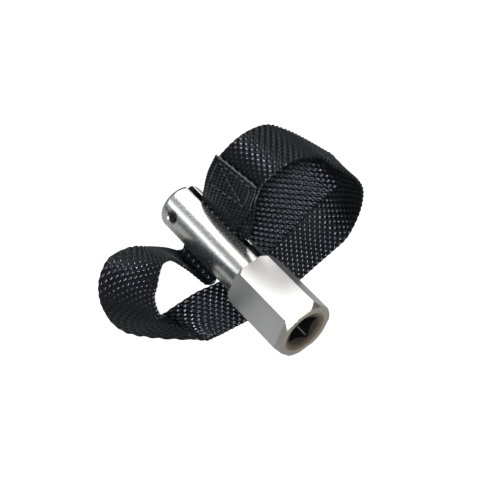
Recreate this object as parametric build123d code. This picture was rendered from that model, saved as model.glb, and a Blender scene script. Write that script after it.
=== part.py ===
from build123d import *
import math
import os

# Oil filter strap wrench: a one-piece steel drive body with a hexagon head, a square drive
# socket and a slotted round shank, a spring pin that closes the slot, and a sewn webbing strap.
# Frame: X runs along the body, the drive face is the plane x = 0, the shank points to -X,
# +Z is up with one flat of the hexagon on top and one below. All sizes in millimetres.

# ---- drive body -------------------------------------------------------------------------
HEX_ACROSS_FLATS = 28.6
HEX_LENGTH = 38.7
BODY_LENGTH = 100.0
SHANK_DIAMETER = 25.0
HEX_FRONT_CIRCLE = 29.6
HEX_FRONT_CHAMFER = 3.1
HEX_BACK_CIRCLE = 30.4
HEX_BACK_CHAMFER = 2.4
SHANK_END_ROUND = 3.6
EDGE_ROUND = 0.5
SLOT_EDGE_ROUND = 0.6

# ---- square drive socket ----------------------------------------------------------------
SQUARE_SIDE = 12.8
SQUARE_DEPTH = 18.0
SQUARE_CORNER = 0.5
SQUARE_TURN = 60.0
LEAD_IN_DIAMETER = 22.8
LEAD_IN_ANGLE = 62.0
DRILL_TIP_DIAMETER = 12.0
DRILL_TIP_DEPTH = 3.0
DETENT_DIAMETER = 4.6
DETENT_DEPTH = 1.0
DETENT_PLACE = 8.0

# ---- slot and spring pin ----------------------------------------------------------------
SLOT_TURN = 57.0
SLOT_WIDTH = 4.0
SLOT_ROOT = 48.5
PIN_PLACE = 90.0
PIN_DIAMETER = 7.4
PIN_WALL = 0.75
PIN_LENGTH = 23.6
PIN_SPLIT = 1.4

# ---- strap ------------------------------------------------------------------------------
STRAP_WIDTH = 27.6
STRAP_THICKNESS = 1.6
LAYER_GAP = 0.3
STEPS_PER_SPAN = 2

# ---- stitching --------------------------------------------------------------------------
THREAD_DIAMETER = 0.6
STITCH_LENGTH = 2.4
STITCH_PITCH = 3.3
BOX_EDGE_INSET = 3.2
BOX_END_INSET = 3.0
BOX_LENGTH = 24.0
THREAD_SINK = 0.1
SEAM_FACE = 1

HEX_RADIUS = HEX_ACROSS_FLATS / math.sqrt(3)
SHANK_RADIUS = SHANK_DIAMETER / 2
ALONG_X = Plane(origin=(0, 0, 0), x_dir=(0, 1, 0), z_dir=(-1, 0, 0))


def across(angle):
    """Unit (y, z) at an angle from +Y towards +Z."""
    return math.cos(math.radians(angle)), math.sin(math.radians(angle))


def revolved(profile):
    """Solid of revolution about X from (x, radius) points."""
    outline = Polyline(*[(x, 0, r) for x, r in profile], close=True)
    return revolve(make_face(outline), Axis.X, 360)


def hexagon_head():
    """Hexagon with its corners turned off to a cone at both ends."""
    corners = [across(60 * i) for i in range(6)]
    outline = Polyline(*[(0, HEX_RADIUS * y, HEX_RADIUS * z) for y, z in corners], close=True)
    prism = extrude(make_face(outline), amount=HEX_LENGTH, dir=(-1, 0, 0))
    prism = fillet(prism.edges().filter_by(Axis.X), EDGE_ROUND)
    outer = HEX_RADIUS + 1
    grow = (HEX_RADIUS - HEX_FRONT_CIRCLE / 2) / HEX_FRONT_CHAMFER
    front_run = (outer - HEX_FRONT_CIRCLE / 2) / grow
    grow_back = (HEX_RADIUS - HEX_BACK_CIRCLE / 2) / HEX_BACK_CHAMFER
    back_run = (outer - HEX_BACK_CIRCLE / 2) / grow_back
    turned = revolved([
        (0, 0),
        (0, HEX_FRONT_CIRCLE / 2),
        (-front_run, outer),
        (-HEX_LENGTH + back_run, outer),
        (-HEX_LENGTH, HEX_BACK_CIRCLE / 2),
        (-HEX_LENGTH, 0),
    ])
    return prism & turned


def shank():
    """Round shank with a rounded far end."""
    bar = extrude(ALONG_X.offset(HEX_LENGTH - 1) * Circle(SHANK_RADIUS),
                  amount=BODY_LENGTH - HEX_LENGTH + 1)
    far_edge = bar.edges().sort_by(Axis.X)[0]
    return fillet(far_edge, SHANK_END_ROUND)


def square_socket():
    """Cutter for the square drive: square hole, cone lead-in, drill tip and ball recesses."""
    turn = Location((0, 0, 0), (1, 0, 0), SQUARE_TURN)
    side = SQUARE_SIDE
    hole = extrude(ALONG_X * RectangleRounded(side, side, SQUARE_CORNER), amount=SQUARE_DEPTH)
    cutter = turn * hole
    lead_depth = LEAD_IN_DIAMETER / 2 / math.tan(math.radians(LEAD_IN_ANGLE))
    cutter += revolved([(0, 0), (0, LEAD_IN_DIAMETER / 2), (-lead_depth, 0)])
    tip_radius = DRILL_TIP_DIAMETER / 2
    bottom = -SQUARE_DEPTH - DRILL_TIP_DEPTH
    cutter += revolved([(-1, 0), (-1, tip_radius), (bottom, tip_radius),
                        (bottom - tip_radius / 2, 0)])
    for i in range(4):
        y, z = across(SQUARE_TURN + 90 * i)
        reach = side / 2 + DETENT_DEPTH
        place = Plane(origin=(-DETENT_PLACE, 0, 0), z_dir=(0, y, z))
        cutter += extrude(place * Circle(DETENT_DIAMETER / 2), amount=reach)
    return cutter


def on_slot_edge(edge):
    """True for the four straight edges where the slot's walls meet the round of the shank."""
    middle = edge @ 0.5
    radius = math.hypot(middle.Y, middle.Z)
    return edge.length > 40 and abs(radius - SHANK_RADIUS) < 0.01 and middle.X < -SLOT_ROOT


def drive_body():
    body = hexagon_head() + shank()
    body -= square_socket()
    y, z = across(SLOT_TURN)
    slot_plane = Plane(origin=(-SLOT_ROOT - SLOT_WIDTH / 2, 0, 0), x_dir=(-1, 0, 0), z_dir=(0, y, z))
    run = BODY_LENGTH - SLOT_ROOT
    slot = extrude(slot_plane * Pos(run / 2, 0) * Rectangle(run, SLOT_WIDTH),
                   amount=SHANK_RADIUS + 1, both=True)
    slot += extrude(slot_plane * Circle(SLOT_WIDTH / 2), amount=SHANK_RADIUS + 1, both=True)
    body -= slot
    long_edges = [e for e in body.edges().filter_by(Axis.X) if on_slot_edge(e)]
    body = fillet(long_edges, SLOT_EDGE_ROUND)
    hy, hz = across(SLOT_TURN + 90)
    pin_plane = Plane(origin=(-PIN_PLACE, 0, 0), x_dir=(1, 0, 0), z_dir=(0, hy, hz))
    body -= extrude(pin_plane * Circle(PIN_DIAMETER / 2), amount=SHANK_RADIUS + 1, both=True)
    return body


def spring_pin():
    """Rolled tube with an open seam."""
    hy, hz = across(SLOT_TURN + 90)
    plane = Plane(origin=(-PIN_PLACE, 0, 0), x_dir=(1, 0, 0), z_dir=(0, hy, hz))
    tube = Circle(PIN_DIAMETER / 2) - Circle(PIN_DIAMETER / 2 - PIN_WALL)
    tube -= Pos(-PIN_DIAMETER / 2, 0) * Rectangle(PIN_DIAMETER, PIN_SPLIT)
    return extrude(plane * tube, amount=PIN_LENGTH / 2, both=True)


# ---- route of the strap ------------------------------------------------------------------
# Each stop gives one point on each long edge of the webbing, at the middle of its thickness.
SLOT_FRONT = -58.0
SLOT_OFFSET = (STRAP_THICKNESS + LAYER_GAP) / 2
REST_Z = -HEX_ACROSS_FLATS / 2 - LAYER_GAP - STRAP_THICKNESS / 2
WRAP_RADIUS = SHANK_RADIUS + LAYER_GAP + STRAP_THICKNESS / 2


def level(front, back, y, z):
    """Stop whose two edges are level and parallel to the body."""
    return (front, y, z), (back, y, z)


def by_slot(along, beside, ahead=0.0):
    """Stop along the slot's depth, beside its middle plane and ahead of the usual place."""
    sy, sz = across(SLOT_TURN)
    hy, hz = across(SLOT_TURN + 90)
    front = SLOT_FRONT + ahead
    return level(front, front - STRAP_WIDTH, along * sy + beside * hy, along * sz + beside * hz)


def in_slot(along, side, ahead=0.0):
    """Stop inside the slot, on its near (+1) or far (-1) side."""
    return by_slot(along, side * SLOT_OFFSET, ahead)


def round_shank(angle, front):
    """Stop wrapped round the underside of the shank."""
    y, z = across(angle)
    return level(front, front - STRAP_WIDTH, WRAP_RADIUS * y, WRAP_RADIUS * z)


STRAP_STOPS = [
    # sewn end, lying outside the strap's own return
    ((-42.8, 9.7, 59.0), (-69.6, 7.9, 58.6)),
    ((-45.8, 10.1, 50.2), (-71.6, 6.8, 52.0)),
    ((-49.4, 10.9, 41.0), (-74.9, 5.8, 43.4)),
    ((-52.6, 10.8, 31.0), (-78.8, 5.6, 33.4)),
    ((-55.8, 9.4, 21.0), (-82.4, 5.9, 23.0)),
    in_slot(14.2, 1, -1.4),
    in_slot(9.0, 1, -0.7),
    in_slot(0.0, 1),
    in_slot(-9.0, 1),
    in_slot(-13.4, 1),
    # out of the slot, up and round the small loop
    ((-58.1, -10.6, -15.2), (-85.6, -10.2, -15.2)),
    ((-58.4, -14.4, -13.2), (-85.8, -13.8, -13.8)),
    ((-59.0, -17.8, -5.0), (-85.6, -17.2, -9.5)),
    ((-58.9, -21.5, 4.6), (-85.0, -20.5, -4.6)),
    ((-58.2, -25.5, 14.0), (-83.2, -24.5, 1.4)),
    ((-56.8, -29.4, 23.2), (-81.0, -29.3, 8.4)),
    ((-54.2, -33.4, 30.6), (-78.0, -34.4, 16.2)),
    ((-52.5, -38.6, 34.0), (-76.4, -40.5, 23.2)),
    ((-51.3, -43.0, 30.6), (-75.0, -48.2, 27.0)),
    ((-50.2, -45.4, 25.0), (-73.8, -55.4, 28.0)),
    ((-48.9, -46.8, 19.0), (-72.6, -63.4, 21.6)),
    ((-46.9, -47.3, 12.6), (-69.6, -67.4, 12.8)),
    ((-45.3, -47.2, 8.2), (-66.4, -67.2, 2.8)),
    ((-44.9, -47.2, 7.4), (-63.6, -65.2, -5.0)),
    ((-44.7, -47.1, 6.8), (-59.8, -60.8, -11.2)),
    ((-44.8, -47.0, 6.2), (-52.5, -51.4, -14.4)),
    ((-45.4, -46.9, 5.4), (-44.0, -41.7, -14.9)),
    ((-48.2, -46.2, 0.6), (-38.5, -35.8, -15.2)),
    ((-56.0, -42.4, -10.2), (-34.6, -30.8, REST_Z)),
    ((-58.8, -31.6, -13.6), (-32.6, -26.0, REST_Z)),
    ((-58.2, -21.0, -13.4), (-31.6, -18.6, REST_Z)),
    ((-57.3, -8.0, REST_Z), (-29.8, -8.0, REST_Z)),
    # flat under the body and on into the large loop
    ((-57.2, 5.0, REST_Z), (-29.8, 5.0, REST_Z)),
    ((-58.6, 20.0, REST_Z), (-32.1, 20.0, REST_Z)),
    ((-60.4, 35.0, REST_Z), (-33.9, 35.0, REST_Z)),
    ((-61.6, 47.4, REST_Z), (-35.1, 46.4, REST_Z)),
    ((-62.0, 57.6, -12.6), (-35.5, 56.1, -13.2)),
    ((-62.4, 65.9, -5.0), (-35.9, 63.2, -4.0)),
    ((-62.3, 70.4, 5.0), (-35.8, 66.2, 6.0)),
    ((-62.4, 69.4, 15.8), (-35.9, 66.5, 16.0)),
    ((-62.5, 63.9, 24.4), (-36.2, 63.5, 25.0)),
    ((-63.0, 57.4, 33.8), (-36.7, 58.0, 34.7)),
    ((-63.5, 50.8, 43.2), (-37.1, 50.9, 44.4)),
    ((-64.0, 42.2, 54.4), (-37.5, 43.0, 57.3)),
    ((-64.6, 33.2, 64.0), (-37.3, 32.3, 65.4)),
    ((-65.1, 23.5, 67.8), (-36.2, 22.5, 68.6)),
    ((-66.4, 15.8, 65.8), (-37.2, 15.5, 66.1)),
    ((-69.2, 10.0, 58.8), (-40.4, 11.6, 59.1)),
    ((-71.7, 8.4, 51.8), (-44.8, 11.9, 50.0)),
    ((-74.7, 7.7, 43.2), (-49.2, 12.8, 40.8)),
    ((-77.4, 8.0, 33.3), (-50.9, 13.2, 31.0)),
    ((-78.6, 8.3, 22.8), (-51.4, 12.0, 21.0)),
    tuple(reversed(by_slot(15.0, -0.65, 6.0))),
    tuple(reversed(by_slot(11.8, -0.85, 5.4))),
    tuple(reversed(in_slot(6.0, -1, 4.0))),
    tuple(reversed(in_slot(-2.0, -1, 2.0))),
    tuple(reversed(in_slot(-9.0, -1, 0.4))),
    tuple(reversed(in_slot(-12.4, -1))),
    # round the underside of the far prong and out to the free end
    tuple(reversed(by_slot(-13.6, -1.6))),
    tuple(reversed(by_slot(-13.7, -3.0))),
    tuple(reversed(round_shank(-98, -58.4))),
    tuple(reversed(round_shank(-78, -57.8))),
    ((-82.0, 10.0, -12.0), (-55.5, 10.0, -12.0)),
    ((-79.4, 19.2, -4.4), (-52.9, 20.0, -9.4)),
    ((-75.6, 28.6, 8.6), (-50.3, 34.0, -1.9)),
    ((-72.4, 41.6, 19.6), (-48.6, 48.0, 7.4)),
    ((-70.4, 50.2, 24.8), (-47.1, 57.2, 12.2)),
    ((-69.2, 54.6, 29.0), (-46.0, 61.0, 18.6)),
    ((-68.8, 55.0, 32.6), (-45.8, 59.6, 25.6)),
    ((-68.6, 51.6, 36.0), (-45.6, 55.6, 32.6)),
]


def smooth(points, steps):
    """Points on a Catmull-Rom curve through the given points."""
    first = points[0] * 2 - points[1]
    last = points[-1] * 2 - points[-2]
    ring = [first] + points + [last]
    out = []
    for i in range(1, len(ring) - 2):
        a, b, c, d = ring[i - 1:i + 3]
        for k in range(steps):
            t = k / steps
            out.append((b * 2 + (c - a) * t + (a * 2 - b * 5 + c * 4 - d) * t ** 2
                        + (b * 3 - a - c * 3 + d) * t ** 3) * 0.5)
    out.append(points[-1])
    return out


def strap_stations():
    """Centre, width direction and surface normal at every station along the strap."""
    mids = [(Vector(*one) + Vector(*two)) * 0.5 for one, two in STRAP_STOPS]
    spans = [(Vector(*one) - Vector(*two)).normalized() for one, two in STRAP_STOPS]
    centres = smooth(mids, STEPS_PER_SPAN)
    widths = [w.normalized() for w in smooth(spans, STEPS_PER_SPAN)]
    stations = []
    for i, centre in enumerate(centres):
        ahead = centres[min(i + 1, len(centres) - 1)]
        behind = centres[max(i - 1, 0)]
        tangent = (ahead - behind).normalized()
        normal = tangent.cross(widths[i]).normalized()
        stations.append((centre, widths[i], normal))
    return stations


def rectangle_at(centre, width, normal):
    """Corners of the strap's cross-section."""
    across_half = width * (STRAP_WIDTH / 2)
    thick_half = normal * (STRAP_THICKNESS / 2)
    return [
        centre + across_half + thick_half,
        centre - across_half + thick_half,
        centre - across_half - thick_half,
        centre + across_half - thick_half,
    ]


def triangle(a, b, c):
    return Face(Wire.make_polygon([a, b, c], close=True))


def strap(stations):
    """Closed solid of the whole webbing, faceted between the stations."""
    rings = [rectangle_at(*station) for station in stations]
    faces = []
    for one, two in zip(rings, rings[1:]):
        for k in range(4):
            a, b = one[k], one[(k + 1) % 4]
            c, d = two[(k + 1) % 4], two[k]
            faces.append(triangle(a, b, c))
            faces.append(triangle(a, c, d))
    for ring in (rings[0], rings[-1]):
        faces.append(triangle(ring[0], ring[1], ring[2]))
        faces.append(triangle(ring[0], ring[2], ring[3]))
    solid = Solid(Shell(faces))
    if solid.volume < 0:
        solid = -solid
    return solid


def on_strap(stations, along, aside, face):
    """Point on the strap's face, by the distance along from its first end and from its middle."""
    walked = 0.0
    for (one, width_one, normal_one), (two, width_two, normal_two) in zip(stations, stations[1:]):
        step = (two - one).length
        if walked + step >= along:
            t = (along - walked) / step
            centre = one * (1 - t) + two * t
            width = (width_one * (1 - t) + width_two * t).normalized()
            normal = (normal_one * (1 - t) + normal_two * t).normalized()
            lift = STRAP_THICKNESS / 2 + THREAD_DIAMETER / 2 - THREAD_SINK
            return centre + width * aside + normal * (face * lift)
        walked += step
    raise ValueError("past the end of the strap")


def stitch_line(start, end):
    """Ends of the stitches in one straight row, in strap coordinates."""
    run = math.dist(start, end)
    count = max(2, round(run / STITCH_PITCH))
    pitch = run / count
    gap = (pitch - STITCH_LENGTH) / 2
    for i in range(count):
        near = (i * pitch + gap) / run
        far = near + STITCH_LENGTH / run
        yield tuple(
            (start[0] + (end[0] - start[0]) * t, start[1] + (end[1] - start[1]) * t)
            for t in (near, far)
        )


def box_stitching(stations):
    """Thread of the box seam: two rows across, two along and a cross."""
    side = STRAP_WIDTH / 2 - BOX_EDGE_INSET
    top = BOX_END_INSET
    bottom = BOX_END_INSET + BOX_LENGTH
    inset = STITCH_PITCH * 0.8
    lines = [
        ((top, -side), (top, side)),
        ((bottom, -side), (bottom, side)),
        ((top + inset, -side), (bottom - inset, -side)),
        ((top + inset, side), (bottom - inset, side)),
        ((top + inset, -side + inset), (bottom - inset, side - inset)),
    ]
    threads = []
    for start, end in lines:
        for one, two in stitch_line(start, end):
            a = on_strap(stations, *one, SEAM_FACE)
            b = on_strap(stations, *two, SEAM_FACE)
            plane = Plane(origin=a, z_dir=b - a)
            threads.append(Solid.make_cylinder(THREAD_DIAMETER / 2, (b - a).length, plane))
    return Compound(threads)


def save(name, shape):
    shape.label = name
    export_step(shape, f"parts/{name}.step")


def main():
    os.makedirs("parts", exist_ok=True)
    stations = strap_stations()
    route = sum((b[0] - a[0]).length for a, b in zip(stations, stations[1:]))
    print(f"strap length {route:.1f} mm")
    save("drive_body", drive_body())
    save("spring_pin", spring_pin())
    webbing = strap(stations)
    expected = route * STRAP_WIDTH * STRAP_THICKNESS
    print(f"strap volume {webbing.volume:.0f} of {expected:.0f}")
    save("strap", webbing)
    save("stitching", box_stitching(stations))


main()
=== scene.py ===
import math

import bmesh
import bpy
import numpy as np
from mathutils import Matrix, Vector


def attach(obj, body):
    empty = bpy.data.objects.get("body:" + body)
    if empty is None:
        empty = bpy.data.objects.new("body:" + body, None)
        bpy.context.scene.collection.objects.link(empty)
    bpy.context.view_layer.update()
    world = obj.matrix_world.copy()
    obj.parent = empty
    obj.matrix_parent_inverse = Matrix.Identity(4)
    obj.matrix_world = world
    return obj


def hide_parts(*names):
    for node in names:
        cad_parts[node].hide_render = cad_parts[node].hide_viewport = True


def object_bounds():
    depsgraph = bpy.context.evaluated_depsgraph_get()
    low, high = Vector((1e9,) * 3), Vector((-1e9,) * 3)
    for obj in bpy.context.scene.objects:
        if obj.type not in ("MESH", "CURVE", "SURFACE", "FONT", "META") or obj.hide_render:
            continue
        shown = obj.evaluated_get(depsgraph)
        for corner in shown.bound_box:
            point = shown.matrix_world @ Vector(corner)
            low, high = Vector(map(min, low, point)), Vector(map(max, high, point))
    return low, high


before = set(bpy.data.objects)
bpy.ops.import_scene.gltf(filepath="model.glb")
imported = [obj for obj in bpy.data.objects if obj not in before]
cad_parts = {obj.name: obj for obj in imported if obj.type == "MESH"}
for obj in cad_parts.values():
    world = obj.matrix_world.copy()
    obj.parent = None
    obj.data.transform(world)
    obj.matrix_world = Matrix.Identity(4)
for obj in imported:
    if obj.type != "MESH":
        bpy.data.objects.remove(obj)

CAD_LOW, CAD_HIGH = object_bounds()
MM = 0.001

# ---- sizes shared with the CAD model, in millimetres ---------------------------------------
HEX_LENGTH = 38.7
HEX_ACROSS_FLATS = 28.6
SHANK_RADIUS = 12.5
SLOT_TURN = 57.0
STRAP_WIDTH = 27.6
STRAP_THICKNESS = 1.6
LAYER_GAP = 0.3
SLOT_OFFSET = (STRAP_THICKNESS + LAYER_GAP) / 2
REST_Z = -HEX_ACROSS_FLATS / 2 - LAYER_GAP - STRAP_THICKNESS / 2
WRAP_RADIUS = SHANK_RADIUS + LAYER_GAP + STRAP_THICKNESS / 2
SLOT_FRONT = -58.0

# ---- webbing weave, in millimetres -----------------------------------------------------------
COLUMNS = 13
COLUMN_PITCH = STRAP_WIDTH / COLUMNS
BUMP_PERIOD = 3.3
SAMPLES_ACROSS = 6
STEP_ALONG = 0.36
BUMP_TOP = 1.02
BUMP_FLOOR = 0.12
RISE_POWER = 0.7
CROWN_POWER = 2.2
TWIST_SLANT = 0.35
SCALLOP = 0.28
SCALLOP_REACH = 1.2
EDGE_ROUNDING = 0.9
END_SHARE = 0.45
END_TAPER = 2.0
CURVE_STEPS = 24
SMOOTHING_PASSES = 2

# ---- box seam, in millimetres ---------------------------------------------------------------
THREAD_RADIUS = 0.32
THREAD_SIDES = 8
THREAD_TIP_SHARE = 0.35
THREAD_TIP_POWER = 0.4
STITCH_LENGTH = 2.5
STITCH_PITCH = 3.3
STITCH_STEPS = 6
STITCH_END_LIFT = 0.45
STITCH_RISE = 0.38
ROW_INSET = STITCH_PITCH * 0.8
BOX_EDGE_INSET = 3.2
BOX_END_INSET = 3.0
BOX_LENGTH = 24.0
SEAM_FACE = 1
SEAM_DENT = 0.28
SEAM_DENT_REACH = 0.9

# ---- materials, in metres, with colours in linear light ------------------------------------------
NOISE_LOW = 0.3
NOISE_HIGH = 0.7
GRAIN_SCALE = 900.0
TURNING_SCALE = (5200.0, 60.0, 60.0)
WAVE_SCALE = 70.0
TURNING_SHARE = 0.5
HEX_GRAIN_SHARE = 0.12
WAVE_SHARE = 6.0
PLATE_BUMP_STRENGTH = 0.10
PIN_BUMP_STRENGTH = 0.15
YARN_BUMP_STRENGTH = 0.25
THREAD_BUMP_STRENGTH = 0.4
METAL_BUMP_DEPTH = 0.00003
YARN_BUMP_DEPTH = 0.00006
SHOULDER_BLEND = 0.0004
PLATE_COLOURS = [(0.3, (0.58, 0.575, 0.56)), (0.7, (0.63, 0.625, 0.615))]
HEX_ROUGHNESS = (0.33, 0.37)
SHANK_ROUGHNESS = (0.22, 0.32)
# The tint runs outwards over the drive face, from FRONT_TINT_INNER to FRONT_TINT_OUTER.
FRONT_TINT = [
    (0.0, (0.10, 0.075, 0.05)),
    (0.38, (0.26, 0.20, 0.14)),
    (0.45, (0.42, 0.37, 0.31)),
    (1.0, (0.44, 0.42, 0.39)),
]
FRONT_TINT_DEPTH = 0.0036
FRONT_TINT_FULL = 0.0024
FRONT_TINT_INNER = 0.0090
FRONT_TINT_OUTER = 0.0150
# Painted shade, by place: the socket, and the slot's plane along the whole shank. The plane also
# puts painted shade on a stripe outside the shank, from the shoulder to where the slot ends.
BORE_REACH = 0.0090
BORE_BLEND = 0.0004
BORE_DEPTH = 0.024
BORE_END_BLEND = 0.001
SLOT_HALF_WIDTH = 0.0021
SLOT_BLEND = 0.0002
# Colour of the painted shade in the socket and along the slot's plane.
SOCKET_SLOT_SHADE = (0.05, 0.048, 0.045)
FILAMENT_SCALE = (5200.0, 900.0, 1.0)
FILAMENT_TURN = 20.0
YARN_PATCH_SCALE = 120.0
YARN_COLOURS = [(0.3, (0.0008, 0.0008, 0.001)), (0.75, (0.002, 0.002, 0.0028))]
YARN_ROUGHNESS = (0.22, 0.34)
YARN_SPECULAR = 0.19
YARN_SPECULAR_TINT = (0.86, 0.92, 1.0, 1.0)
# A painted highlight: a paler band along the heat-cut edge at the sewn end.
END_HIGHLIGHT_FROM = 0.0012
END_HIGHLIGHT_FULL = 0.0005
END_HIGHLIGHT_COLOUR = (0.040, 0.040, 0.048)
THREAD_SCALE = 2500.0
THREAD_COLOURS = [(0.3, (0.008, 0.008, 0.011)), (0.7, (0.020, 0.021, 0.030))]
PIN_COLOURS = [(0.3, (0.30, 0.30, 0.30)), (0.7, (0.48, 0.48, 0.49))]
PIN_ROUGHNESS = (0.22, 0.38)
THREAD_ROUGHNESS = (0.35, 0.6)

# ---- camera and light -------------------------------------------------------------------------
# The direction and the distance come from a fit to the photograph, for a given lens.
AIM = Vector((-44.4, -1.1, 27.0)) * MM
CAMERA_DISTANCE = 0.5078
CAMERA_RIGHT = Vector((0.6108, 0.7882, -0.0755))
CAMERA_UP = Vector((-0.6128, 0.5310, 0.5852))
LENS_MM = 82.5
SENSOR_MM = 36.0
CLIP_RANGE = (0.01, 20.0)
# The floor is a dark grey that glows for camera rays alone. So it looks white in the picture,
# while reflections in the metal and the light that it bounces see only the grey.
FLOOR_HALF_SIZE = 3.0
FLOOR_DROP = 0.0004
FLOOR_SPOT_SCALE = 14.0
FLOOR_GREY = [(0.3, (0.13, 0.128, 0.125)), (0.7, (0.15, 0.148, 0.145))]
FLOOR_ROUGHNESS = 0.8
FLOOR_GLOW = 0.88
FLOOR_GLOW_COLOUR = (1.0, 0.99, 0.975, 1.0)
WORLD_STRENGTH = 0.28
# From straight below (0) to straight above (1).
WORLD_COLOURS = [
    (0.0, (0.45, 0.44, 0.43)),
    (0.48, (0.34, 0.34, 0.34)),
    (0.58, (0.28, 0.285, 0.29)),
    (0.72, (1.25, 1.30, 1.36)),
    (1.0, (1.0, 1.0, 1.0)),
]
# Name, place, what it points at, size, power in watts and colour.
LIGHTS = [
    ("overhead", (-0.45, 0.25, 0.72), (-0.05, 0.0, 0.0), (0.8, 0.8), 6.6, (1.0, 0.995, 0.98)),
    ("left_strip", (-0.47, -0.60, 0.47), (-0.05, 0.0, 0.0), (0.8, 0.15), 1.1, (0.95, 0.97, 1.0)),
    ("key", (0.39, -0.31, 0.80), (-0.06, 0.0, 0.02), (0.13, 0.13), 28.0, (0.93, 0.96, 1.0)),
]


def make_camera():
    data = bpy.data.cameras.new("camera")
    data.lens = LENS_MM
    data.sensor_width = SENSOR_MM
    data.clip_start, data.clip_end = CLIP_RANGE
    camera = bpy.data.objects.new("camera", data)
    right = CAMERA_RIGHT.normalized()
    back = right.cross(CAMERA_UP).normalized()
    up = back.cross(right)
    turn = Matrix((right, up, back)).transposed()
    place = AIM + back * CAMERA_DISTANCE
    camera.matrix_world = Matrix.Translation(place) @ turn.to_4x4()
    bpy.context.scene.collection.objects.link(camera)
    bpy.context.scene.camera = camera


make_camera()


# ---- small helpers for node materials ----------------------------------------------------------
def new_material(name):
    material = bpy.data.materials.new(name)
    material.use_nodes = True
    nodes = material.node_tree.nodes
    nodes.clear()
    output = nodes.new("ShaderNodeOutputMaterial")
    shader = nodes.new("ShaderNodeBsdfPrincipled")
    material.node_tree.links.new(shader.outputs["BSDF"], output.inputs["Surface"])
    return material, material.node_tree, shader


def add(tree, kind, **values):
    node = tree.nodes.new(kind)
    for key, value in values.items():
        setattr(node, key, value)
    return node


def math_node(tree, operation, first, second):
    node = add(tree, "ShaderNodeMath", operation=operation)
    for socket, value in zip(node.inputs, (first, second)):
        if hasattr(value, "links"):
            tree.links.new(value, socket)
        else:
            socket.default_value = value
    return node.outputs[0]


def noise(tree, vector, detail, roughness=0.5):
    node = add(tree, "ShaderNodeTexNoise")
    node.inputs["Scale"].default_value = 1.0
    node.inputs["Detail"].default_value = detail
    node.inputs["Roughness"].default_value = roughness
    tree.links.new(vector, node.inputs["Vector"])
    return node.outputs["Fac"]


def stretched(tree, scale):
    """Object coordinates stretched by a scale for each axis."""
    place = add(tree, "ShaderNodeTexCoord").outputs["Object"]
    mapping = add(tree, "ShaderNodeMapping")
    mapping.inputs["Scale"].default_value = scale
    tree.links.new(place, mapping.inputs["Vector"])
    return mapping.outputs["Vector"]


def object_noise(tree, scale, detail, roughness=0.5):
    """Noise in object coordinates, with one scale or a scale for each axis."""
    scales = scale if isinstance(scale, tuple) else (scale, scale, scale)
    return noise(tree, stretched(tree, scales), detail, roughness)


def ramp(tree, value, stops):
    node = add(tree, "ShaderNodeValToRGB")
    elements = node.color_ramp.elements
    while len(elements) < len(stops):
        elements.new(0.5)
    for element, (position, colour) in zip(elements, stops):
        element.position = position
        element.color = (*colour, 1.0)
    tree.links.new(value, node.inputs["Fac"])
    return node.outputs["Color"]


def map_range(tree, value, low, high, to_low, to_high):
    node = add(tree, "ShaderNodeMapRange")
    node.inputs["From Min"].default_value = low
    node.inputs["From Max"].default_value = high
    node.inputs["To Min"].default_value = to_low
    node.inputs["To Max"].default_value = to_high
    tree.links.new(value, node.inputs["Value"])
    return node.outputs["Result"]


def grain_range(tree, grain, limits):
    """Noise turned into a value between two limits."""
    return map_range(tree, grain, NOISE_LOW, NOISE_HIGH, limits[0], limits[1])


def mix_colour(tree, share, first, second):
    """First colour output blended towards a second one, or towards a plain colour."""
    # Sockets 6 and 7 are the colours A and B, and output 2 is the colour.
    node = add(tree, "ShaderNodeMix", data_type="RGBA")
    tree.links.new(share, node.inputs[0])
    tree.links.new(first, node.inputs[6])
    if hasattr(second, "links"):
        tree.links.new(second, node.inputs[7])
    else:
        node.inputs[7].default_value = (*second, 1.0)
    return node.outputs[2]


def mix_number(tree, share, first, second):
    """First number output blended towards a second one."""
    # Sockets 2 and 3 are the numbers A and B.
    node = add(tree, "ShaderNodeMix", data_type="FLOAT")
    tree.links.new(share, node.inputs[0])
    tree.links.new(first, node.inputs[2])
    tree.links.new(second, node.inputs[3])
    return node.outputs[0]


def split(tree, vector):
    """The separate X, Y and Z outputs of a vector."""
    node = add(tree, "ShaderNodeSeparateXYZ")
    tree.links.new(vector, node.inputs["Vector"])
    return node.outputs


def bump(tree, shader, height, strength, distance):
    node = add(tree, "ShaderNodeBump")
    node.inputs["Strength"].default_value = strength
    node.inputs["Distance"].default_value = distance
    tree.links.new(height, node.inputs["Height"])
    tree.links.new(node.outputs["Normal"], shader.inputs["Normal"])


def across(angle):
    """Unit (y, z) at an angle from +Y towards +Z."""
    return math.cos(math.radians(angle)), math.sin(math.radians(angle))


# ---- materials --------------------------------------------------------------------------------
def plate_height(tree, grain, waves, on_shank):
    """Turning marks and grain on the shank, little grain on the hexagon, and waves on both."""
    turning = object_noise(tree, TURNING_SCALE, 2.0)
    shank_marks = math_node(tree, "MULTIPLY", turning, on_shank)
    grain_share = map_range(tree, on_shank, 0.0, 1.0, HEX_GRAIN_SHARE, 1.0)
    fine = math_node(tree, "MULTIPLY", grain, grain_share)
    marks = math_node(tree, "ADD", math_node(tree, "MULTIPLY", shank_marks, TURNING_SHARE), fine)
    return math_node(tree, "ADD", marks, math_node(tree, "MULTIPLY", waves, WAVE_SHARE))


def tint_drive_face(tree, plate, along, from_axis):
    """Plate colour blended over the drive face towards a brown that grows darker towards the socket.
    """
    near_end = map_range(tree, along, -FRONT_TINT_DEPTH, -FRONT_TINT_FULL, 0.0, 1.0)
    outwards = map_range(tree, from_axis, FRONT_TINT_INNER, FRONT_TINT_OUTER, 0.0, 1.0)
    return mix_colour(tree, near_end, plate, ramp(tree, outwards, FRONT_TINT))


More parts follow.
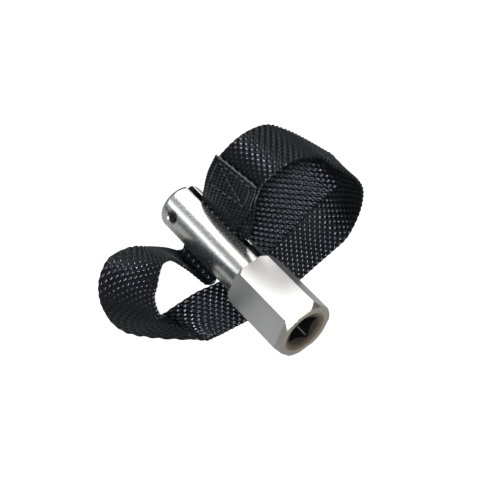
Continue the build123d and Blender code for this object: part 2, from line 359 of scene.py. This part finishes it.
def painted_shade_places(tree, place, along, from_axis, on_shank):
    """Painted shade: 1 near the axis as deep as the socket, and along the slot's plane on the shank.
    """
    in_bore = map_range(tree, from_axis, BORE_REACH, BORE_REACH - BORE_BLEND, 0.0, 1.0)
    at_socket = map_range(tree, along, -BORE_DEPTH - BORE_END_BLEND, -BORE_DEPTH, 0.0, 1.0)
    in_bore = math_node(tree, "MULTIPLY", in_bore, at_socket)
    beside = add(tree, "ShaderNodeVectorMath", operation="DOT_PRODUCT")
    tree.links.new(place, beside.inputs[0])
    slot_y, slot_z = across(SLOT_TURN + 90)
    beside.inputs[1].default_value = (0.0, slot_y, slot_z)
    off_plane = math_node(tree, "ABSOLUTE", beside.outputs["Value"], 0.0)
    outer = SLOT_HALF_WIDTH + SLOT_BLEND
    in_slot_cut = map_range(tree, off_plane, outer, SLOT_HALF_WIDTH, 0.0, 1.0)
    in_slot_cut = math_node(tree, "MULTIPLY", in_slot_cut, on_shank)
    return math_node(tree, "MAXIMUM", in_bore, in_slot_cut)


def chrome_material():
    """Chrome plate: satin on the hexagon, glossier on the shank, with painted shade in socket and
    slot.
    """
    material, tree, shader = new_material("chrome_plate")
    shader.inputs["Metallic"].default_value = 1.0
    place = add(tree, "ShaderNodeTexCoord").outputs["Object"]
    along = split(tree, place)["X"]
    radius = add(tree, "ShaderNodeVectorMath", operation="LENGTH")
    tree.links.new(stretched(tree, (0.0, 1.0, 1.0)), radius.inputs[0])
    from_axis = radius.outputs["Value"]
    shoulder = -HEX_LENGTH * MM
    on_shank = map_range(tree, along, shoulder + SHOULDER_BLEND, shoulder - SHOULDER_BLEND, 0.0, 1.0)
    grain = object_noise(tree, GRAIN_SCALE, 4.0, 0.6)
    waves = object_noise(tree, WAVE_SCALE, 2.0)
    height = plate_height(tree, grain, waves, on_shank)
    bump(tree, shader, height, PLATE_BUMP_STRENGTH, METAL_BUMP_DEPTH)
    tinted = tint_drive_face(tree, ramp(tree, waves, PLATE_COLOURS), along, from_axis)
    dark = painted_shade_places(tree, place, along, from_axis, on_shank)
    # Painted shade in the socket and along the slot's plane, laid over the plate colour.
    tree.links.new(mix_colour(tree, dark, tinted, SOCKET_SLOT_SHADE), shader.inputs["Base Color"])
    flats = grain_range(tree, grain, HEX_ROUGHNESS)
    round_part = grain_range(tree, grain, SHANK_ROUGHNESS)
    tree.links.new(mix_number(tree, on_shank, flats, round_part), shader.inputs["Roughness"])
    return material


def pin_material():
    """Spring steel, grey and slightly grainy."""
    material, tree, shader = new_material("spring_steel")
    shader.inputs["Metallic"].default_value = 1.0
    grain = object_noise(tree, GRAIN_SCALE, 4.0)
    tree.links.new(ramp(tree, grain, PIN_COLOURS), shader.inputs["Base Color"])
    tree.links.new(grain_range(tree, grain, PIN_ROUGHNESS), shader.inputs["Roughness"])
    bump(tree, shader, grain, PIN_BUMP_STRENGTH, METAL_BUMP_DEPTH)
    return material


def webbing_material():
    """Black yarn with fine slanted filaments, and a painted highlight on the cut edge at the sewn
    end.
    """
    material, tree, shader = new_material("black_webbing")
    uv = add(tree, "ShaderNodeUVMap", uv_map="along").outputs["UV"]
    mapping = add(tree, "ShaderNodeMapping")
    mapping.inputs["Scale"].default_value = FILAMENT_SCALE
    mapping.inputs["Rotation"].default_value = (0.0, 0.0, math.radians(FILAMENT_TURN))
    tree.links.new(uv, mapping.inputs["Vector"])
    filaments = noise(tree, mapping.outputs["Vector"], 2.0)
    colour = ramp(tree, object_noise(tree, YARN_PATCH_SCALE, 3.0), YARN_COLOURS)
    # Painted highlight: a paler band along the heat-cut edge at the sewn end.
    painted_end_highlight = map_range(tree, split(tree, uv)["Y"], END_HIGHLIGHT_FROM, END_HIGHLIGHT_FULL, 0.0, 1.0)
    colour = mix_colour(tree, painted_end_highlight, colour, END_HIGHLIGHT_COLOUR)
    tree.links.new(colour, shader.inputs["Base Color"])
    tree.links.new(grain_range(tree, filaments, YARN_ROUGHNESS), shader.inputs["Roughness"])
    shader.inputs["Specular IOR Level"].default_value = YARN_SPECULAR
    shader.inputs["Specular Tint"].default_value = YARN_SPECULAR_TINT
    bump(tree, shader, filaments, YARN_BUMP_STRENGTH, YARN_BUMP_DEPTH)
    return material


def thread_material():
    """Black sewing thread, a little paler than the webbing."""
    material, tree, shader = new_material("black_thread")
    grain = object_noise(tree, THREAD_SCALE, 3.0)
    tree.links.new(ramp(tree, grain, THREAD_COLOURS), shader.inputs["Base Color"])
    tree.links.new(grain_range(tree, grain, THREAD_ROUGHNESS), shader.inputs["Roughness"])
    bump(tree, shader, grain, THREAD_BUMP_STRENGTH, YARN_BUMP_DEPTH)
    return material


def floor_material():
    """Grey paper that also glows, for camera rays alone."""
    material, tree, shader = new_material("pale_floor")
    spots = object_noise(tree, FLOOR_SPOT_SCALE, 3.0)
    tree.links.new(ramp(tree, spots, FLOOR_GREY), shader.inputs["Base Color"])
    shader.inputs["Roughness"].default_value = FLOOR_ROUGHNESS
    shader.inputs["Emission Color"].default_value = FLOOR_GLOW_COLOUR
    seen = add(tree, "ShaderNodeLightPath").outputs["Is Camera Ray"]
    glow = map_range(tree, seen, 0.0, 1.0, 0.0, FLOOR_GLOW)
    tree.links.new(glow, shader.inputs["Emission Strength"])
    return material


CHROME = chrome_material()
PIN_STEEL = pin_material()
WEBBING = webbing_material()
THREAD = thread_material()


# ---- route of the strap -------------------------------------------------------------------------
# Each stop gives one point on each long edge of the webbing, at the middle of its thickness.
def level(front, back, y, z):
    return (front, y, z), (back, y, z)


def by_slot(along, beside, ahead=0.0):
    """Stop along the slot's depth, beside its middle plane and ahead of the usual place."""
    sy, sz = across(SLOT_TURN)
    hy, hz = across(SLOT_TURN + 90)
    front = SLOT_FRONT + ahead
    return level(front, front - STRAP_WIDTH, along * sy + beside * hy, along * sz + beside * hz)


def in_slot(along, side, ahead=0.0):
    """Stop inside the slot, on its near (+1) or far (-1) side."""
    return by_slot(along, side * SLOT_OFFSET, ahead)


def round_shank(angle, front):
    """Stop wrapped round the underside of the shank."""
    y, z = across(angle)
    return level(front, front - STRAP_WIDTH, WRAP_RADIUS * y, WRAP_RADIUS * z)


def swapped(stop):
    """The same stop with its two edges exchanged, for the stretch that comes back."""
    return stop[1], stop[0]


STRAP_STOPS = [
    # sewn end, lying outside the strap's own return
    ((-42.8, 9.7, 59.0), (-69.6, 7.9, 58.6)),
    ((-45.8, 10.1, 50.2), (-71.6, 6.8, 52.0)),
    ((-49.4, 10.9, 41.0), (-74.9, 5.8, 43.4)),
    ((-52.6, 10.8, 31.0), (-78.8, 5.6, 33.4)),
    ((-55.8, 9.4, 21.0), (-82.4, 5.9, 23.0)),
    in_slot(14.2, 1, -1.4),
    in_slot(9.0, 1, -0.7),
    in_slot(0.0, 1),
    in_slot(-9.0, 1),
    in_slot(-13.4, 1),
    # out of the slot, up and round the small loop
    ((-58.1, -10.6, -15.2), (-85.6, -10.2, -15.2)),
    ((-58.4, -14.4, -13.2), (-85.8, -13.8, -13.8)),
    ((-59.0, -17.8, -5.0), (-85.6, -17.2, -9.5)),
    ((-58.9, -21.5, 4.6), (-85.0, -20.5, -4.6)),
    ((-58.2, -25.5, 14.0), (-83.2, -24.5, 1.4)),
    ((-56.8, -29.4, 23.2), (-81.0, -29.3, 8.4)),
    ((-54.2, -33.4, 30.6), (-78.0, -34.4, 16.2)),
    ((-52.5, -38.6, 34.0), (-76.4, -40.5, 23.2)),
    ((-51.3, -43.0, 30.6), (-75.0, -48.2, 27.0)),
    ((-50.2, -45.4, 25.0), (-73.8, -55.4, 28.0)),
    ((-48.9, -46.8, 19.0), (-72.6, -63.4, 21.6)),
    ((-46.9, -47.3, 12.6), (-69.6, -67.4, 12.8)),
    ((-45.3, -47.2, 8.2), (-66.4, -67.2, 2.8)),
    ((-44.9, -47.2, 7.4), (-63.6, -65.2, -5.0)),
    ((-44.7, -47.1, 6.8), (-59.8, -60.8, -11.2)),
    ((-44.8, -47.0, 6.2), (-52.5, -51.4, -14.4)),
    ((-45.4, -46.9, 5.4), (-44.0, -41.7, -14.9)),
    ((-48.2, -46.2, 0.6), (-38.5, -35.8, -15.2)),
    ((-56.0, -42.4, -10.2), (-34.6, -30.8, REST_Z)),
    ((-58.8, -31.6, -13.6), (-32.6, -26.0, REST_Z)),
    ((-58.2, -21.0, -13.4), (-31.6, -18.6, REST_Z)),
    ((-57.3, -8.0, REST_Z), (-29.8, -8.0, REST_Z)),
    # flat under the body and on into the large loop
    ((-57.2, 5.0, REST_Z), (-29.8, 5.0, REST_Z)),
    ((-58.6, 20.0, REST_Z), (-32.1, 20.0, REST_Z)),
    ((-60.4, 35.0, REST_Z), (-33.9, 35.0, REST_Z)),
    ((-61.6, 47.4, REST_Z), (-35.1, 46.4, REST_Z)),
    ((-62.0, 57.6, -12.6), (-35.5, 56.1, -13.2)),
    ((-62.4, 65.9, -5.0), (-35.9, 63.2, -4.0)),
    ((-62.3, 70.4, 5.0), (-35.8, 66.2, 6.0)),
    ((-62.4, 69.4, 15.8), (-35.9, 66.5, 16.0)),
    ((-62.5, 63.9, 24.4), (-36.2, 63.5, 25.0)),
    ((-63.0, 57.4, 33.8), (-36.7, 58.0, 34.7)),
    ((-63.5, 50.8, 43.2), (-37.1, 50.9, 44.4)),
    ((-64.0, 42.2, 54.4), (-37.5, 43.0, 57.3)),
    ((-64.6, 33.2, 64.0), (-37.3, 32.3, 65.4)),
    ((-65.1, 23.5, 67.8), (-36.2, 22.5, 68.6)),
    ((-66.4, 15.8, 65.8), (-37.2, 15.5, 66.1)),
    ((-69.2, 10.0, 58.8), (-40.4, 11.6, 59.1)),
    ((-71.7, 8.4, 51.8), (-44.8, 11.9, 50.0)),
    ((-74.7, 7.7, 43.2), (-49.2, 12.8, 40.8)),
    ((-77.4, 8.0, 33.3), (-50.9, 13.2, 31.0)),
    ((-78.6, 8.3, 22.8), (-51.4, 12.0, 21.0)),
    swapped(by_slot(15.0, -0.65, 6.0)),
    swapped(by_slot(11.8, -0.85, 5.4)),
    swapped(in_slot(6.0, -1, 4.0)),
    swapped(in_slot(-2.0, -1, 2.0)),
    swapped(in_slot(-9.0, -1, 0.4)),
    swapped(in_slot(-12.4, -1)),
    # round the underside of the far prong and out to the free end
    swapped(by_slot(-13.6, -1.6)),
    swapped(by_slot(-13.7, -3.0)),
    swapped(round_shank(-98, -58.4)),
    swapped(round_shank(-78, -57.8)),
    ((-82.0, 10.0, -12.0), (-55.5, 10.0, -12.0)),
    ((-79.4, 19.2, -4.4), (-52.9, 20.0, -9.4)),
    ((-75.6, 28.6, 8.6), (-50.3, 34.0, -1.9)),
    ((-72.4, 41.6, 19.6), (-48.6, 48.0, 7.4)),
    ((-70.4, 50.2, 24.8), (-47.1, 57.2, 12.2)),
    ((-69.2, 54.6, 29.0), (-46.0, 61.0, 18.6)),
    ((-68.8, 55.0, 32.6), (-45.8, 59.6, 25.6)),
    ((-68.6, 51.6, 36.0), (-45.6, 55.6, 32.6)),
]


def smooth(points, steps):
    """Points on a Catmull-Rom curve through the given points."""
    first = points[0] * 2 - points[1]
    last = points[-1] * 2 - points[-2]
    ring = [first] + points + [last]
    out = []
    for i in range(1, len(ring) - 2):
        a, b, c, d = ring[i - 1:i + 3]
        for k in range(steps):
            t = k / steps
            out.append((b * 2 + (c - a) * t + (a * 2 - b * 5 + c * 4 - d) * t ** 2
                        + (b * 3 - a - c * 3 + d) * t ** 3) * 0.5)
    out.append(points[-1])
    return out


def strap_route():
    """Evenly spaced centres, width directions and normals along the strap, in millimetres."""
    mids = [(Vector(one) + Vector(two)) * 0.5 for one, two in STRAP_STOPS]
    spans = [(Vector(one) - Vector(two)).normalized() for one, two in STRAP_STOPS]
    centres = np.array(smooth(mids, CURVE_STEPS))
    widths = np.array(smooth(spans, CURVE_STEPS))
    walked = np.concatenate([[0.0], np.cumsum(np.linalg.norm(np.diff(centres, axis=0), axis=1))])
    count = int(walked[-1] / STEP_ALONG)
    places = np.linspace(0.0, walked[-1], count + 1)
    centre = np.stack([np.interp(places, walked, centres[:, k]) for k in range(3)], 1)
    width = np.stack([np.interp(places, walked, widths[:, k]) for k in range(3)], 1)
    for _ in range(SMOOTHING_PASSES):
        centre[1:-1] = (centre[:-2] + centre[1:-1] * 2 + centre[2:]) / 4
    width /= np.linalg.norm(width, axis=1)[:, None]
    tangent = np.gradient(centre, axis=0)
    tangent /= np.linalg.norm(tangent, axis=1)[:, None]
    normal = np.cross(tangent, width)
    normal /= np.linalg.norm(normal, axis=1)[:, None]
    return places, centre, width, normal


def seam_lines():
    """Rows of the box seam as start and end, by distance along the strap and from its middle."""
    side = STRAP_WIDTH / 2 - BOX_EDGE_INSET
    top = BOX_END_INSET
    bottom = BOX_END_INSET + BOX_LENGTH
    return [
        ((top, -side), (top, side)),
        ((bottom, -side), (bottom, side)),
        ((top + ROW_INSET, -side), (bottom - ROW_INSET, -side)),
        ((top + ROW_INSET, side), (bottom - ROW_INSET, side)),
        ((top + ROW_INSET, -side + ROW_INSET), (bottom - ROW_INSET, side - ROW_INSET)),
    ]


def seam_dent(along, aside):
    """How far the seam pulls the webbing in, in millimetres."""
    depth = np.zeros(np.broadcast(along, aside).shape)
    for start, end in seam_lines():
        a = np.array(start)
        run = np.array(end) - a
        share = ((along - a[0]) * run[0] + (aside - a[1]) * run[1]) / (run @ run)
        share = np.clip(share, 0.0, 1.0)
        gap = np.hypot(along - a[0] - share * run[0], aside - a[1] - share * run[1])
        depth = np.maximum(depth, SEAM_DENT * np.exp(-(gap / SEAM_DENT_REACH) ** 2))
    return depth


def weave_height(along, aside, face):
    """Height of the yarn bumps over the strap's middle, in millimetres."""
    column = np.clip(np.floor(aside / COLUMN_PITCH + COLUMNS / 2), 0, COLUMNS - 1)
    middle = (column - (COLUMNS - 1) / 2) * COLUMN_PITCH
    beside = (aside - middle) / (COLUMN_PITCH / 2)
    shift = np.where(face > 0, 0.0, 0.5)
    phase = (along + TWIST_SLANT * (aside - middle)) / BUMP_PERIOD + column * 0.5 + shift
    rise = (0.5 + 0.5 * np.cos(2 * np.pi * phase)) ** RISE_POWER
    crown = np.sqrt(np.clip(1.0 - np.abs(beside) ** CROWN_POWER, 0.0, 1.0))
    return BUMP_FLOOR + (BUMP_TOP - BUMP_FLOOR) * rise * crown


def webbing_ring(route, aside):
    """Rows of points round the strap's section, one row for each place along it."""
    places, centre, width, normal = route
    along = places[:, None]
    edge = np.clip((STRAP_WIDTH / 2 - np.abs(aside)) / EDGE_ROUNDING, 0.0, 1.0)
    round_off = np.sqrt(1.0 - (1.0 - edge) ** 2)
    wave = 0.5 + 0.5 * np.cos(2 * np.pi * along / BUMP_PERIOD + np.where(aside > 0, 0.0, np.pi))
    at_edge = np.abs(aside) > STRAP_WIDTH / 2 - SCALLOP_REACH
    reach = aside + np.sign(aside) * SCALLOP * (wave - 0.5) * at_edge
    from_end = np.minimum(along, places[-1] - along)
    thin = END_SHARE + (1.0 - END_SHARE) * np.clip(from_end / END_TAPER, 0.0, 1.0)
    sides = []
    for face in (1, -1):
        height = weave_height(along, aside, face) * round_off * thin
        if face == SEAM_FACE:
            height = height - seam_dent(along, aside) * round_off
        sides.append(centre[:, None, :] + width[:, None, :] * reach[..., None]
                     + normal[:, None, :] * (face * height)[..., None])
    top, bottom = sides
    return np.concatenate([top, bottom[:, ::-1][:, 1:-1]], axis=1)


def webbing_faces(count, around, columns):
    """Faces round the strap from row to row, and faces that close its two ends."""
    faces = []
    for i in range(count - 1):
        base = i * around
        for k in range(around):
            after = (k + 1) % around
            faces.append((base + k, base + after, base + around + after, base + around + k))
    for i, turn in ((0, 1), (count - 1, -1)):
        base = i * around
        for k in range(columns):
            lower = (around - k) % around
            lower_next = around - k - 1
            quad = [base + k, base + lower, base + lower_next, base + k + 1]
            quad = [v for n, v in enumerate(quad) if v not in quad[:n]]
            if len(quad) > 2:
                faces.append(tuple(quad[::turn]))
    return faces


def finish_piece(name, mesh, material):
    """Smooth shading, a material and an object for a new mesh."""
    mesh.polygons.foreach_set("use_smooth", [True] * len(mesh.polygons))
    mesh.materials.append(material)
    piece = bpy.data.objects.new(name, mesh)
    bpy.context.scene.collection.objects.link(piece)
    return piece


def webbing(route):
    """The whole strap as one closed mesh with its yarns in the surface."""
    places = route[0]
    columns = COLUMNS * SAMPLES_ACROSS
    aside = np.linspace(-STRAP_WIDTH / 2, STRAP_WIDTH / 2, columns + 1)
    ring = webbing_ring(route, aside)
    count, around = ring.shape[:2]
    mesh = bpy.data.meshes.new("strap_webbing")
    mesh.from_pydata((ring.reshape(-1, 3) * MM).tolist(), [], webbing_faces(count, around, columns))
    layer = mesh.uv_layers.new(name="along")
    aside_ring = np.concatenate([aside, aside[::-1][1:-1]])
    uv = np.stack(np.broadcast_arrays(aside_ring[None, :], places[:, None]), -1).reshape(-1, 2) * MM
    loops = np.zeros(len(mesh.loops), np.int32)
    mesh.loops.foreach_get("vertex_index", loops)
    layer.data.foreach_set("uv", uv[loops].astype(np.float32).ravel())
    mesh.validate()
    mesh.update()
    return finish_piece("strap_webbing", mesh, WEBBING)


def point_on(route, along, aside, lift):
    """Point on the strap, from a place along it, across it and above its middle."""
    places, centre, width, normal = route
    i = int(np.searchsorted(places, along))
    i = min(max(i, 0), len(places) - 1)
    return centre[i] + width[i] * aside + normal[i] * lift


def add_strand(maker, points, radius):
    """One round strand along its points, thinner towards both ends, and closed."""
    rings = []
    last_side = None
    for i, point in enumerate(points):
        ahead = points[min(i + 1, len(points) - 1)]
        behind = points[max(i - 1, 0)]
        along = (ahead - behind).normalized()
        if last_side is None:
            side = along.orthogonal().normalized()
        else:
            side = (last_side - along * last_side.dot(along)).normalized()
        last_side = side
        other = along.cross(side)
        share = i / (len(points) - 1)
        thin = max(THREAD_TIP_SHARE, math.sin(math.pi * share) ** THREAD_TIP_POWER)
        ring = []
        for k in range(THREAD_SIDES):
            angle = 2 * math.pi * k / THREAD_SIDES
            offset = side * math.cos(angle) + other * math.sin(angle)
            ring.append(maker.verts.new(point + offset * radius * thin))
        rings.append(ring)
    for one, two in zip(rings, rings[1:]):
        for k in range(THREAD_SIDES):
            after = (k + 1) % THREAD_SIDES
            maker.faces.new((one[k], one[after], two[after], two[k]))
    maker.faces.new(reversed(rings[0]))
    maker.faces.new(rings[-1])


def stitch_ends(start, end):
    """Where each stitch of a row begins and ends, as shares of the row."""
    run = math.dist(start, end)
    count = max(2, round(run / STITCH_PITCH))
    pitch = run / count
    gap = (pitch - STITCH_LENGTH) / 2
    for i in range(count):
        near = (i * pitch + gap) / run
        yield near, near + STITCH_LENGTH / run


def stitch_line(route, start, end, near, far):
    """Points of one stitch, which dips into the webbing at both ends."""
    line = []
    for k in range(STITCH_STEPS + 1):
        t = near + (far - near) * k / STITCH_STEPS
        along = start[0] + (end[0] - start[0]) * t
        aside = start[1] + (end[1] - start[1]) * t
        lift = STITCH_END_LIFT + STITCH_RISE * math.sin(math.pi * k / STITCH_STEPS)
        line.append(Vector(point_on(route, along, aside, SEAM_FACE * lift) * MM))
    return line


def seam(route):
    """Thread of the box seam, as one mesh of separate stitches."""
    maker = bmesh.new()
    for start, end in seam_lines():
        for near, far in stitch_ends(start, end):
            add_strand(maker, stitch_line(route, start, end, near, far), THREAD_RADIUS * MM)
    bmesh.ops.recalc_face_normals(maker, faces=maker.faces)
    mesh = bpy.data.meshes.new("seam_thread")
    maker.to_mesh(mesh)
    maker.free()
    return finish_piece("seam_thread", mesh, THREAD)


# ---- pieces ---------------------------------------------------------------------------------------
def give_material(node, material):
    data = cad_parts[node].data
    data.materials.clear()
    data.materials.append(material)


give_material("drive_body", CHROME)
give_material("spring_pin", PIN_STEEL)

strap_line = strap_route()
strap_piece = webbing(strap_line)
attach(strap_piece, "sling")
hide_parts("strap")

seam_piece = seam(strap_line)
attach(seam_piece, "sling")
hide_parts("stitching")


# ---- floor, light and world ------------------------------------------------------------------------
def make_floor():
    size = FLOOR_HALF_SIZE
    mesh = bpy.data.meshes.new("floor")
    z = CAD_LOW[2] - FLOOR_DROP
    corners = [(-size, -size, z), (size, -size, z), (size, size, z), (-size, size, z)]
    mesh.from_pydata(corners, [], [(0, 1, 2, 3)])
    mesh.materials.append(floor_material())
    floor = bpy.data.objects.new("floor", mesh)
    bpy.context.scene.collection.objects.link(floor)


def area_light(name, place, target, size, power, colour):
    data = bpy.data.lights.new(name, "AREA")
    data.shape = "RECTANGLE"
    data.size, data.size_y = size
    data.energy = power
    data.color = colour
    lamp = bpy.data.objects.new(name, data)
    lamp.location = place
    lamp.rotation_euler = (Vector(target) - Vector(place)).to_track_quat("-Z", "Y").to_euler()
    bpy.context.scene.collection.objects.link(lamp)


def make_world():
    world = bpy.data.worlds.new("studio")
    bpy.context.scene.world = world
    world.use_nodes = True
    tree = world.node_tree
    tree.nodes.clear()
    output = add(tree, "ShaderNodeOutputWorld")
    background = add(tree, "ShaderNodeBackground")
    place = add(tree, "ShaderNodeTexCoord").outputs["Generated"]
    upwards = map_range(tree, split(tree, place)["Z"], -1.0, 1.0, 0.0, 1.0)
    sky = ramp(tree, upwards, WORLD_COLOURS)
    tree.links.new(sky, background.inputs["Color"])
    background.inputs["Strength"].default_value = WORLD_STRENGTH
    tree.links.new(background.outputs["Background"], output.inputs["Surface"])


make_floor()
make_world()
for light in LIGHTS:
    area_light(*light)
bpy.context.scene.view_settings.view_transform = "Standard"
